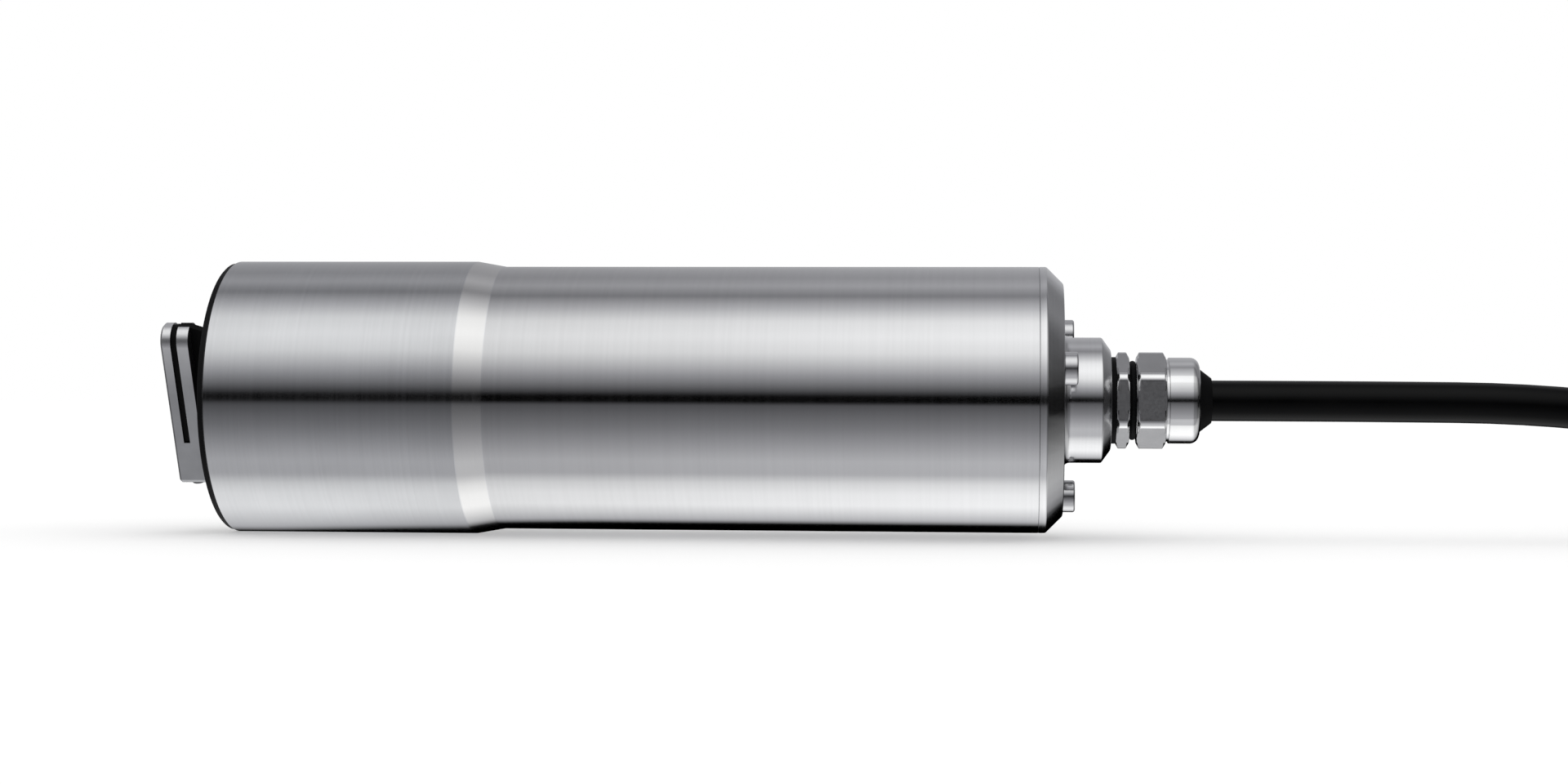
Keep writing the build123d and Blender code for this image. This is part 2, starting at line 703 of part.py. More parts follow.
def wire_loom():
    """The cable's cores, from the end of its jacket over to the terminal block."""
    high = AXIS_Z + BOARD_THICK / 2 + LOOM_RISE
    start = jacket_end_x()
    end = terminal_x() + TERMINAL_LONG / 2
    span = start - end
    path = FilletPolyline(
        (start, 0, AXIS_Z), (start - span * 0.35, 0, AXIS_Z), (start - span * 0.7, 0, high), (end, 0, high),
        radius=[span * 0.3, span * 0.3],
    )
    return sweep(Plane(path @ 0, z_dir=path % 0) * Circle(LOOM_R), path=path)


# Cable gland


def gland_gasket():
    return ring(COLLAR_X, HEX_X, GLAND_GASKET_R, GLAND_STEM_R + FIT)


def gland_body():
    body = turned_hexagon(HEX_X, NECK_X, GLAND_HEX, HEX_CHAMFER)
    body += rod(NECK_X, NUT_X, GLAND_NECK_R)
    body += rod(HEX_X - GLAND_GASKET - GLAND_STEM, HEX_X, GLAND_STEM_R)
    body += rod(NUT_X, NUT_X + NUT_HEX_LENGTH, GLAND_NECK_R - GLAND_THREAD_DROP)
    bore_start = HEX_X - GLAND_GASKET - GLAND_STEM - PAST
    return body - rod(bore_start, GROOVE_X + PAST, CABLE_R + GLAND_BORE_CLEAR)


def gland_nut():
    """The clamping nut: a hexagon that runs into a round dome."""
    body = turned_hexagon(NUT_X, GROOVE_X, GLAND_HEX, HEX_CHAMFER)
    body += rod(GROOVE_X, DOME_X, NUT_GROOVE_R)
    dome = rod(DOME_X, SEAL_X, DOME_R)
    body += fillet(dome.faces().sort_by(Axis.X)[-1].edges(), DOME_ROUND)
    body -= rod(NUT_X - PAST, GROOVE_X + FIT, GLAND_NECK_R - GLAND_THREAD_DROP + FIT)
    return body - rod(NUT_X, SEAL_X + PAST, DOME_MOUTH_R + FIT)


def gland_seal():
    """The rubber seal round the cable, with the cone that shows past the nut."""
    return turned(
        [
            (GROOVE_X + SEAL_START, CABLE_R + FIT),
            (GROOVE_X + SEAL_START, DOME_MOUTH_R),
            (SEAL_X, DOME_MOUTH_R),
            (EXIT_X, SEAL_TIP_R),
            (EXIT_X, CABLE_R + FIT),
        ]
    )


# Cable, hank, ties and plug

CABLE_LEAD = [
    (EXIT_X, 0.0, AXIS_Z),
    (148.0, 0.0, AXIS_Z),
    (184.0, 0.0, 29.7),
    (220.0, 6.0, 25.5),
    (250.0, 24.0, 14.5),
    (280.0, 41.0, 6.2),
    (312.0, 45.0, 4.5),
]
LANE_WIDTH = 2 * CABLE_R
HANK_OUTER_R = HANK_INNER_BEND_R + HANK_LANES * LANE_WIDTH - CABLE_R
HANK_HEIGHT = HANK_LAYERS * LANE_WIDTH
HANK_FAR_X = HANK_NEAR_X + HANK_STRAIGHT
PLUG_Z = HANK_HEIGHT + TIE_THICK + PLUG_RING_FREE + PLUG_RING_R
PLUG_X = 410.0
CABLE_TAIL = [
    (342.0, 27.0, 49.5),
    (363.0, 29.0, 53.0),
    (386.0, 34.2, 59.6),
    (PLUG_X, PLUG_Y, PLUG_Z),
]


def arc_radii(points):
    """The bend radius at each inner point: as large as the two runs beside it allow."""
    radii = []
    for before, here, after in zip(points, points[1:], points[2:]):
        run_in = Vector(*here) - Vector(*before)
        run_out = Vector(*after) - Vector(*here)
        turn = math.radians(run_in.get_angle(run_out))
        radii.append(0.45 * min(run_in.length, run_out.length) / math.tan(turn / 2))
    return radii


def cable_run(name, points):
    radii = arc_radii(points)
    print(name, "bend radii", [round(radius, 1) for radius in radii])
    path = FilletPolyline(*points, radius=radii)
    tube = sweep(Plane(path @ 0, z_dir=path % 0) * Circle(CABLE_R), path=path)
    ideal = math.pi * CABLE_R**2 * path.length
    print(name, "length", round(path.length, 1), "volume share", round(tube.volume / ideal, 4))
    return tube


def cable_in_gland():
    return rod(jacket_end_x(), EXIT_X, CABLE_R)


def stadium(straight, radius):
    return Rectangle(straight, 2 * radius) + Pos(-straight / 2, 0) * Circle(radius) + Pos(
        straight / 2, 0
    ) * Circle(radius)


def tie_x(index):
    return HANK_NEAR_X + TIE_FROM_BEND if index == 0 else HANK_FAR_X - TIE_FROM_BEND


def hank_tie(index):
    """A strap round the whole hank, pressed flat against the surface underneath."""
    outer = Pos(0, HANK_HEIGHT / 2 + TIE_THICK / 2) * RectangleRounded(
        2 * (HANK_OUTER_R + TIE_THICK), HANK_HEIGHT + TIE_THICK, TIE_CORNER_R
    )
    inner = Pos(0, HANK_HEIGHT / 2 + TIE_THICK / 2) * RectangleRounded(
        2 * HANK_OUTER_R, HANK_HEIGHT - TIE_THICK, TIE_INNER_CORNER_R
    )
    plane = Plane(origin=(tie_x(index) - TIE_WIDTH / 2, 0, 0), x_dir=(0, 1, 0), z_dir=(1, 0, 0))
    return extrude(plane * (outer - inner), TIE_WIDTH)


def cable_hank():
    """The outer shape of the put-away turns, hollow in the middle."""
    centre_x = (HANK_NEAR_X + HANK_FAR_X) / 2
    outer = stadium(HANK_STRAIGHT, HANK_OUTER_R)
    inner = stadium(HANK_STRAIGHT, HANK_INNER_BEND_R - CABLE_R)
    body = extrude(Pos(centre_x, 0, 0) * (outer - inner), HANK_HEIGHT)
    ends = body.faces().sort_by(Axis.Z)
    rims = ends[0].outer_wire().edges() + ends[-1].outer_wire().edges()
    body = fillet(rims, CABLE_R * 0.9)
    for index in range(TIE_COUNT):
        body -= hank_tie(index)
    return body


def plug_boot():
    """The tapered, ribbed strain relief behind the plug."""
    end = PLUG_X + PLUG_BOOT
    body = turned(
        [
            (PLUG_X, CABLE_R + FIT),
            (PLUG_X, PLUG_BOOT_R),
            (end, PLUG_SHELL_R - PLUG_BOOT_STEP),
            (end, CABLE_R + FIT),
        ],
        PLUG_Y,
        PLUG_Z,
    )
    for index in range(BOOT_GROOVES):
        x = PLUG_X + BOOT_GROOVE_FROM + index * BOOT_GROOVE_PITCH
        floor_r = PLUG_BOOT_R - BOOT_GROOVE_DEPTH + index * BOOT_GROOVE_RISE
        body -= ring(x, x + BOOT_GROOVE_WIDTH, PLUG_SHELL_R + PAST, floor_r, PLUG_Y, PLUG_Z)
    return body


def plug_shell_end_x():
    return PLUG_X + PLUG_BOOT + PLUG_SHELL


def plug_shell():
    start = PLUG_X + PLUG_BOOT
    end = plug_shell_end_x()
    body = rod(start, end, PLUG_SHELL_R, PLUG_Y, PLUG_Z)
    body = fillet(body.edges().filter_by(GeomType.CIRCLE), PLUG_SHELL_ROUND)
    floor_r = PLUG_SHELL_R - GRIP_GROOVE_DEPTH
    for index in range(GRIP_GROOVES):
        x = start + GRIP_GROOVE_FROM + index * GRIP_GROOVE_PITCH
        body -= ring(x, x + GRIP_GROOVE_WIDTH, PLUG_SHELL_R + PAST, floor_r, PLUG_Y, PLUG_Z)
    neck_end = end + PLUG_RING_FREE + PLUG_RING_WEB + PLUG_RING_FREE
    return body + rod(end, neck_end, PLUG_NECK_R, PLUG_Y, PLUG_Z)


def plug_ring():
    """The knurled coupling ring that turns freely on the plug's neck."""
    start = plug_shell_end_x() + PLUG_RING_FREE
    end = start + PLUG_RING_LENGTH
    body = rod(start, end, PLUG_RING_R, PLUG_Y, PLUG_Z)
    body = chamfer(body.edges().filter_by(GeomType.CIRCLE), PLUG_RING_EDGE)
    body -= rod(start - PAST, end, PLUG_NECK_R + FIT, PLUG_Y, PLUG_Z)
    body -= rod(start + PLUG_RING_WEB, end + PAST, PLUG_RING_BORE_R, PLUG_Y, PLUG_Z)
    for index in range(KNURL_COUNT):
        turn = 2 * math.pi * index / KNURL_COUNT
        y = PLUG_Y + PLUG_RING_R * math.cos(turn)
        z = PLUG_Z + PLUG_RING_R * math.sin(turn)
        body -= rod(start + KNURL_FROM, end - KNURL_TO_END, KNURL_DEPTH, y, z)
    return body


def plug_insert():
    """The pin carrier: a flange that keeps the ring on, and a nose."""
    start = plug_shell_end_x() + PLUG_RING_FREE + PLUG_RING_WEB + PLUG_RING_FREE
    flange = rod(start, start + PLUG_INSERT_FLANGE, PLUG_INSERT_FLANGE_R, PLUG_Y, PLUG_Z)
    nose = rod(start, start + PLUG_NOSE, PLUG_INSERT_R, PLUG_Y, PLUG_Z)
    return flange + nose


def plug_pins():
    nose_end = plug_shell_end_x() + 2 * PLUG_RING_FREE + PLUG_RING_WEB + PLUG_NOSE
    places = [(0.0, 0.0)]
    for index in range(PLUG_PIN_COUNT):
        turn = 2 * math.pi * index / PLUG_PIN_COUNT
        places.append((PLUG_PIN_CIRCLE_R * math.cos(turn), PLUG_PIN_CIRCLE_R * math.sin(turn)))
    end = nose_end + PLUG_PIN_LENGTH
    return [rod(nose_end, end, PLUG_PIN_R, PLUG_Y + y, PLUG_Z + z) for y, z in places]


os.makedirs("parts", exist_ok=True)
save("optics_head", optics_head())
save("housing_tube", housing_tube())
save("rear_cap", rear_cap())
save("cap_screws", *[cap_screw(index) for index in range(SCREW_COUNT)])
save("head_o_ring", o_ring(TUBE_X + SPIGOT_LENGTH - RING_FROM_END, TUBE_BORE_R))
save("carrier_o_ring", o_ring(STEEL_X + CARRIER_DEPTH / 2, HEAD_BORE_R))
save("cap_o_ring", o_ring(CAP_INSIDE_X + RING_FROM_END, TUBE_BORE_R))
save("optics_carrier", optics_carrier())
for place, sizes in WINDOWS.items():
    save(f"{place}_window", window(*sizes))
    save(place, light_element(*sizes))
save("optics_board", optics_board())
save("board_pillars", *board_pillars())
save("wiper_arm", wiper_arm())
save("wiper_blade", wiper_blade())
save("wiper_clamp_screw", wiper_clamp_screw())
save("wiper_axle", wiper_axle())
save("axle_lip_seal", axle_lip_seal())
save("axle_bush", axle_bush())
save("shaft_coupling", shaft_coupling())
save("motor_shaft", motor_shaft())
save("gearmotor", gearmotor())
for index in range(SCREW_COUNT):
    save(f"tie_rod_{index + 1}", tie_rod(index))
save("motor_bulkhead", motor_bulkhead())
save("rear_bulkhead", rear_bulkhead())
save("main_board", main_board())
save("board_parts", *board_parts())
save("terminal_block", terminal_block())
save("wire_loom", wire_loom())
save("gland_gasket", gland_gasket())
save("gland_body", gland_body())
save("gland_nut", gland_nut())
save("gland_seal", gland_seal())
save("cable_in_gland", cable_in_gland())
save("cable_lead", cable_run("cable_lead", CABLE_LEAD))
save("cable_hank", cable_hank())
save("cable_tail", cable_run("cable_tail", CABLE_TAIL))
save("hank_ties", *[hank_tie(index) for index in range(TIE_COUNT)])
save("plug_boot", plug_boot())
save("plug_shell", plug_shell())
save("plug_ring", plug_ring())
save("plug_insert", plug_insert())
save("plug_pins", *plug_pins())
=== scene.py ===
import bmesh
import bpy
import json
import math
from mathutils import Matrix, Vector


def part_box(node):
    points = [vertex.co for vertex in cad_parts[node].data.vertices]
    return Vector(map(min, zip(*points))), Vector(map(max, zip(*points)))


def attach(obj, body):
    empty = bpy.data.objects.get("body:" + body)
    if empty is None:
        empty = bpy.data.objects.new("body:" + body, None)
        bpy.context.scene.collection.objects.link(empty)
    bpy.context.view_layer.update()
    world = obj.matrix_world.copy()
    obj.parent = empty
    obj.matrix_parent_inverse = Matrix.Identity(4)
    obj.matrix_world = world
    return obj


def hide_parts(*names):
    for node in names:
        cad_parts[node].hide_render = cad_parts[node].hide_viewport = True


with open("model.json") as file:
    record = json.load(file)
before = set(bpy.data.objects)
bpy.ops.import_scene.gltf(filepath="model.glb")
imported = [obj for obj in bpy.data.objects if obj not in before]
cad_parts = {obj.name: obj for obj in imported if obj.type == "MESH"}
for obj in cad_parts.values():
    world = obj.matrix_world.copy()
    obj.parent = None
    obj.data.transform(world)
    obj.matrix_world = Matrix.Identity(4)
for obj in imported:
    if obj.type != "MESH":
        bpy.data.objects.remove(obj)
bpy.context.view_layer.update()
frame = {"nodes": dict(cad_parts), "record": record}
nodes = frame["nodes"]

MM = 0.001

# The height of the probe's axis, and the lengths of the head's band, painted brighter as a stand-in for the
# light its cone reflects, and of the cap's straight rim
AXIS_Z = 30.0 * MM
HIGHLIGHT_BAND_LENGTH = 6.2 * MM
CAP_RIM = 1.6 * MM

# Stations along the probe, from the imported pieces
tube_low, tube_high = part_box("housing_tube")
nut_low, nut_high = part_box("gland_nut")
tie_low, tie_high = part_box("hank_ties")
TUBE_X = tube_low[0]
HIGHLIGHT_BAND_X = TUBE_X - HIGHLIGHT_BAND_LENGTH
CHAMFER_X = tube_high[0] + CAP_RIM
HEX_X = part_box("gland_gasket")[1][0]
EXIT_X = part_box("gland_seal")[1][0]

# Gland
HEX_FLATS = 18.6 * MM
HEX_CORNER_R = 2.0 * MM
HEX_CHAMFER = 0.8 * MM
THIN_HEX_LENGTH = 2.9 * MM
NUT_HEX_LENGTH = 6.3 * MM
NUT_GROOVE = 0.5 * MM
NUT_GROOVE_R = 8.9 * MM
DOME_R = 9.3 * MM
DOME_ROUND = 2.0 * MM
DOME_EDGE = 0.15 * MM
MOUTH_R = 6.95 * MM
MOUTH_EDGE = 0.2 * MM
NUT_BORE_R = MOUTH_R + 0.3 * MM
NECK_R = 7.8 * MM
NECK_RING_GAP = 0.05 * MM
NECK_RING_BASE_R = NECK_R + 0.1 * MM
NECK_RING_CROWN = 0.7 * MM
STEM_R = 7.5 * MM
THREAD_R = 7.2 * MM
THREAD_PITCH = 1.5 * MM
THREAD_DEPTH = 0.5 * MM
GLAND_BORE_R = 5.7 * MM

# The part of a pitch that lies before the thread's first groove
THREAD_LEAD_IN = 0.4

# Cable and its hank
CABLE_R = 4.5 * MM
HANK_NEAR_X = 312.0 * MM
HANK_STRAIGHT = 156.0 * MM
HANK_INNER_BEND_R = 27.0 * MM
HANK_LANES = 3
HANK_LAYERS = 6
BEND_STEPS = 6
STRAIGHT_SHARES = (1 / 6, 1 / 2, 5 / 6)

# The spline runs inside the points of a bend, so they stand out by this factor
BEND_SWELL = 1.035

# The turns don't lie quite in line: their bends are shifted by up to this length, after a sine wave
# read in steps of this many radians
WANDER = 1.2 * MM
WANDER_STEP = 2.4

# Straps round the hank, each with its loose end laid over it
STRAP_WIDTH = 16.0 * MM
STRAP_THICK = 1.1 * MM
STRAP_EDGE = 0.3 * MM
STRAP_CORNER_R = 4.0 * MM
LAP_THICK = 0.9 * MM
LAP_INSET = 0.8 * MM
LAP_LOW_Z = 14.0 * MM
LAP_BELOW_TOP = 6.0 * MM
LAP_STEPS = 6

# Camera, fitted to the photograph's outline
PHOTO_WIDTH = 1920
FOCAL_PX = 3221.0
SENSOR_WIDTH = 36.0
CAMERA_AT = Vector((CHAMFER_X - 9.3 * MM, -574.6 * MM, 31.5 * MM))
CAMERA_YAW = math.radians(4.75)
CAMERA_ROLL = math.radians(0.25)


# Node trees

# The middle of a noise's values, where most of them lie
NARROW = (0.35, 0.65)
WIDE = (0.3, 0.7)

finishes = {}


class Graph:
    """A node tree with short ways to add and join its nodes. Colours are given as red, green and blue."""

    def __init__(self, tree):
        self.tree = tree

    def put(self, socket, value):
        """Joins another node's output to a socket, or gives the socket its value."""
        if isinstance(value, bpy.types.NodeSocket):
            self.tree.links.new(value, socket)
        elif socket.type == "RGBA":
            socket.default_value = (*value, 1.0)
        else:
            socket.default_value = value

    def add(self, kind, inputs=None, **settings):
        node = self.tree.nodes.new(kind)
        for name, value in settings.items():
            setattr(node, name, value)
        for name, value in (inputs or {}).items():
            self.put(node.inputs[name], value)
        return node

    def range(self, source, low, high, to_low, to_high):
        """A value carried over from one range to another, and held at its ends."""
        ends = {"From Min": low, "From Max": high, "To Min": to_low, "To Max": to_high}
        return self.add("ShaderNodeMapRange", {"Value": source, **ends}).outputs["Result"]

    def math(self, operation, first, second):
        return self.add("ShaderNodeMath", {0: first, 1: second}, operation=operation).outputs[0]

    def split(self, vector):
        """The outputs X, Y and Z of a vector."""
        return self.add("ShaderNodeSeparateXYZ", {"Vector": vector}).outputs

    def either(self, factor, first, second):
        """The first shader where a factor is 0, and the second where it is 1."""
        return self.add("ShaderNodeMixShader", {0: factor, 1: first, 2: second}).outputs[0]

    def ramp(self, source, stops):
        """A colour for each value, through stops of (value, colour)."""
        node = self.add("ShaderNodeValToRGB", {"Fac": source})
        elements = node.color_ramp.elements
        while len(elements) > 1:
            elements.remove(elements[-1])
        for index, (position, color) in enumerate(stops):
            element = elements[0] if index == 0 else elements.new(position)
            element.position = position
            element.color = (*color, 1.0)
        return node.outputs["Color"]


class Shader(Graph):
    """A new material with its principled shader, listed by its name in the finishes."""

    def __init__(self, name, tone, roughness, metallic=0.0):
        material = bpy.data.materials.new(name)
        material.use_nodes = True
        super().__init__(material.node_tree)
        self.shader = self.tree.nodes["Principled BSDF"]
        self.feed("Base Color", tone)
        self.feed("Roughness", roughness)
        self.feed("Metallic", metallic)
        finishes[name] = material

    def feed(self, socket, value):
        self.put(self.shader.inputs[socket], value)

    def place(self):
        """Object coordinates, the same in every piece because each has its place in its mesh."""
        return self.add("ShaderNodeTexCoord").outputs["Object"]

    def scaled(self, vector, scale):
        return self.add("ShaderNodeMapping", {"Vector": vector, "Scale": scale}).outputs["Vector"]

    def noise(self, vector, scale, detail=4.0, roughness=0.55):
        inputs = {"Vector": vector, "Scale": scale, "Detail": detail, "Roughness": roughness}
        return self.add("ShaderNodeTexNoise", inputs).outputs["Fac"]

    def blend(self, factor, first, second):
        """A colour between two, by a factor from 0 to 1."""
        return self.add("ShaderNodeMix", {"Factor": factor, 6: first, 7: second}, data_type="RGBA").outputs[2]

    def rough_by(self, source, roughness, spread=0.15):
        """Roughness that goes up and down with a noise."""
        self.feed("Roughness", self.range(source, *WIDE, roughness * (1 - spread), roughness * (1 + spread)))

    def bump(self, height, strength, distance):
        inputs = {"Height": height, "Strength": strength, "Distance": distance}
        self.feed("Normal", self.add("ShaderNodeBump", inputs).outputs["Normal"])


# Materials


def shade(tone, factor):
    """A tone made darker or lighter."""
    return tuple(min(channel * factor, 1.0) for channel in tone)


def turned_steel(name, tone, roughness, ring_scale, cloud, grain, highlight_band=None, highlight_band_edge=0.3 * MM):
    """Stainless steel turned about the probe's axis, with fine rings, soft clouding and specks.

    A band is (start, end, tone): between its ends along X the steel has that tone, a painted highlight that
    stands in for the brighter light the cone reflects there."""
    m = Shader(name, tone, roughness, metallic=1.0)
    m.feed("Anisotropic", 0.55)
    m.feed("Anisotropic Rotation", 0.25)
    m.feed("Tangent", m.add("ShaderNodeTangent", direction_type="RADIAL", axis="X").outputs["Tangent"])
    place = m.place()
    rings = m.noise(m.scaled(place, (ring_scale, 14.0, 14.0)), scale=1.0, detail=6.0, roughness=0.7)
    clouds = m.noise(m.scaled(place, (26.0, 42.0, 60.0)), scale=1.0, detail=3.0)
    specks = m.noise(place, scale=2600.0, detail=2.0)
    tone_shift = m.range(rings, *NARROW, -grain, grain)
    cloudy = m.range(clouds, *NARROW, -cloud, cloud)
    level = m.math("ADD", m.math("ADD", tone_shift, cloudy), 0.5)
    color = m.blend(level, shade(tone, 0.86), shade(tone, 1.1))
    # Painted highlight: the band's lighter tone stands in for the brighter light that the cone reflects
    if highlight_band:
        start, end, highlight_tone = highlight_band
        along = m.split(place)["X"]
        past_start = m.range(along, start, start + highlight_band_edge, 0.0, 1.0)
        short_of_end = m.range(along, end - highlight_band_edge, end, 1.0, 0.0)
        color = m.blend(m.math("MULTIPLY", past_start, short_of_end), color, highlight_tone)
    m.feed("Base Color", color)
    mottled = m.math("ADD", rings, m.math("MULTIPLY", specks, 0.3))
    m.feed("Roughness", m.range(mottled, 0.4, 0.9, roughness * 0.8, roughness * 1.25))
    m.bump(rings, strength=0.05, distance=0.01 * MM)


def fine_metal(name, tone, roughness, grain_scale=900.0, wear=0.3, patchy=0.12):
    """Small machined or plated metal pieces, with fine grain and edges rubbed brighter."""
    m = Shader(name, tone, roughness, metallic=1.0)
    place = m.place()
    grain = m.noise(place, grain_scale, detail=5.0, roughness=0.6)
    patches = m.noise(place, grain_scale * 0.12, detail=3.0)
    pointiness = m.add("ShaderNodeNewGeometry").outputs["Pointiness"]
    edge = m.range(pointiness, 0.5, 0.58, 0.0, wear)
    level = m.math("ADD", m.range(patches, *WIDE, 0.1, 0.6), edge)
    m.feed("Base Color", m.blend(level, shade(tone, 1.0 - patchy), shade(tone, 1.0 + patchy)))
    m.rough_by(grain, roughness)
    m.bump(grain, strength=0.06, distance=0.01 * MM)


def cast_metal(name, tone, roughness, top_lit_tone, lit_from, lit_to):
    """Blasted investment casting: fine dimples all over, and painted light that makes it lighter from one
    height up to another, where its top faces the light from above.
    """
    m = Shader(name, tone, roughness, metallic=1.0)
    place = m.place()
    dimples = m.noise(place, scale=3200.0, detail=3.0, roughness=0.7)
    stains = m.noise(place, scale=160.0)
    color = m.blend(m.range(stains, *NARROW, 0.0, 1.0), shade(tone, 0.88), tone)
    # Painted light: the colour turns lighter from one height up, for the top that faces the light from above
    tone_shift = m.range(m.split(place)["Z"], lit_from, lit_to, 0.0, 1.0)
    m.feed("Base Color", m.blend(tone_shift, color, top_lit_tone))
    m.rough_by(dimples, roughness)
    m.bump(dimples, strength=0.25, distance=0.05 * MM)


def moulded(name, tone, roughness, grain_scale, grain_depth=0.2, gloss=0.3):
    """Rubber, plastic and resin, with moulding grain, dust and rubbed patches."""
    m = Shader(name, tone, roughness)
    place = m.place()
    grain = m.noise(place, grain_scale, roughness=0.6)
    dust = m.noise(place, scale=95.0, detail=5.0, roughness=0.65)
    m.feed("Base Color", m.blend(m.range(dust, 0.45, 0.75, 0.0, 0.5), tone, shade(tone, 2.2)))
    m.rough_by(dust, roughness)
    m.feed("Specular IOR Level", gloss)
    m.bump(grain, grain_depth, distance=0.04 * MM)


def window_glass():
    """Clear quartz with a faint coating tint."""
    m = Shader("window_glass", (0.86, 0.9, 0.95), 0.04)
    m.feed("Transmission Weight", 0.85)
    m.feed("IOR", 1.46)
    m.feed("Coat Weight", 0.4)
    haze = m.noise(m.place(), scale=420.0)
    m.feed("Roughness", m.range(haze, 0.4, 0.8, 0.02, 0.09))
    m.feed("Base Color", m.blend(haze, (0.78, 0.84, 0.95), (0.92, 0.95, 0.98)))


def board_laminate():
    """Solder-masked board: glass weave under the mask, tracks as faint lighter lines."""
    m = Shader("board", (0.02, 0.16, 0.08), 0.35)
    place = m.place()
    weave = m.add(
        "ShaderNodeTexWave", {"Vector": place, "Scale": 700.0}, wave_type="BANDS", bands_direction="DIAGONAL"
    )
    tracks = m.add("ShaderNodeTexBrick", {"Vector": place, "Scale": 260.0})
    level = m.range(tracks.outputs["Fac"], 0.0, 1.0, 0.0, 0.6)
    m.feed("Base Color", m.blend(level, (0.02, 0.15, 0.075), (0.05, 0.26, 0.13)))
    m.bump(weave.outputs["Fac"], strength=0.1, distance=0.02 * MM)


def strap_fabric():
    """Hook and loop strap: short looped pile over a ribbed weave."""
    m = Shader("strap", (0.02, 0.02, 0.022), 0.85)
    place = m.place()
    pile = m.noise(place, scale=2400.0, roughness=0.8)
    ribs = m.add(
        "ShaderNodeTexWave", {"Vector": place, "Scale": 420.0}, wave_type="BANDS", bands_direction="X"
    )
    height = m.math("ADD", pile, m.math("MULTIPLY", ribs.outputs["Fac"], 0.5))
    m.feed("Base Color", m.blend(pile, (0.008, 0.008, 0.009), (0.055, 0.055, 0.06)))
    m.feed("Sheen Weight", 0.4)
    m.bump(height, strength=0.7, distance=0.2 * MM)


def cable_jacket():
    """Extruded polyurethane: smooth and black, with fine grain and a little bloom."""
    m = Shader("cable_jacket", (0.001, 0.001, 0.001), 0.28)
    m.feed("Specular IOR Level", 0.12)
    place = m.place()
    bloom = m.noise(place, scale=60.0, detail=5.0, roughness=0.6)
    grain = m.noise(place, scale=1500.0, detail=3.0)
    level = m.range(bloom, 0.4, 0.75, 0.0, 1.0)
    m.feed("Base Color", m.blend(level, (0.0005, 0.0005, 0.0006), (0.0014, 0.0014, 0.0016)))
    m.feed("Roughness", m.range(bloom, *WIDE, 0.24, 0.32))
    m.bump(grain, strength=0.12, distance=0.03 * MM)


HEAD_TONE = (0.66, 0.665, 0.68)
# The band's tone is a painted highlight, lighter than the head's own tone, for the light that the cone
# reflects
HIGHLIGHT_BAND_TONE = (0.74, 0.735, 0.73)
HEAD_HIGHLIGHT_BAND = (HIGHLIGHT_BAND_X, TUBE_X, HIGHLIGHT_BAND_TONE)

# The wiper arm is painted lighter towards its tip, from the first height on and fully from the second:
# painted light for its top, which faces the light from above
ARM_LIT_FROM = 32 * MM
ARM_LIT_TO = 46 * MM

turned_steel("satin_steel", HEAD_TONE, 0.14, ring_scale=1500.0, cloud=0.16, grain=0.08, highlight_band=HEAD_HIGHLIGHT_BAND)
turned_steel("bright_steel", (0.72, 0.72, 0.73), 0.1, ring_scale=900.0, cloud=0.05, grain=0.07)
turned_steel("cap_steel", (0.76, 0.76, 0.77), 0.14, ring_scale=2200.0, cloud=0.05, grain=0.1)
fine_metal("screw_steel", (0.66, 0.66, 0.67), 0.2)
cast_metal("cast_steel", (0.47, 0.475, 0.49), 0.33, (0.85, 0.85, 0.86), ARM_LIT_FROM, ARM_LIT_TO)
fine_metal("plated_metal", (0.82, 0.82, 0.825), 0.12, grain_scale=1200.0, wear=0.1, patchy=0.05)
# Painted shade: the flats' finish is much darker than the plating, standing in for the darker light they
# reflect; its higher roughness is their duller finish
fine_metal("flats_painted_darker", (0.47, 0.47, 0.48), 0.36, grain_scale=1600.0, wear=0.1, patchy=0.08)
fine_metal("dark_screw", (0.16, 0.16, 0.17), 0.35, grain_scale=2000.0)
fine_metal("alloy", (0.7, 0.71, 0.72), 0.35, grain_scale=700.0)
fine_metal("bronze", (0.5, 0.34, 0.16), 0.4, grain_scale=2200.0, wear=0.1)
fine_metal("gold_pins", (0.83, 0.62, 0.25), 0.22, grain_scale=1500.0, wear=0.2)
moulded("black_plastic", (0.0035, 0.0035, 0.004), 0.45, grain_scale=1400.0, grain_depth=0.15, gloss=0.12)
moulded("black_rubber", (0.0025, 0.0025, 0.0028), 0.55, grain_scale=2600.0, grain_depth=0.3, gloss=0.08)
moulded("plug_plastic", (0.009, 0.009, 0.01), 0.42, grain_scale=2000.0)
moulded("component", (0.02, 0.02, 0.022), 0.5, grain_scale=2400.0)
moulded("lens_resin", (0.12, 0.06, 0.07), 0.12, grain_scale=500.0, grain_depth=0.05, gloss=0.5)
moulded("wire_cores", (0.16, 0.03, 0.025), 0.45, grain_scale=900.0, grain_depth=0.1, gloss=0.4)
window_glass()
board_laminate()
strap_fabric()
cable_jacket()

# The pieces take the finish of their slot, apart from these small steel ones
node_finish = {row["node"]: row["material_slot"] for row in frame["record"]["subparts"]}
for node in ("wiper_axle", "motor_shaft", "tie_rod_1", "tie_rod_2", "tie_rod_3"):
    node_finish[node] = "screw_steel"

for node, obj in nodes.items():
    finish = finishes[node_finish[node]]
    if not obj.material_slots:
        obj.data.materials.append(finish)
    for material_slot in obj.material_slots:
        material_slot.material = finish


# Making pieces


def arc(start, end, steps):
    """Angles in radians from one to another, both given in degrees."""
    return [math.radians(start + (end - start) * step / steps) for step in range(steps + 1)]


def new_object(name, data):
    made = bpy.data.objects.new(name, data)
    bpy.context.scene.collection.objects.link(made)
    return made


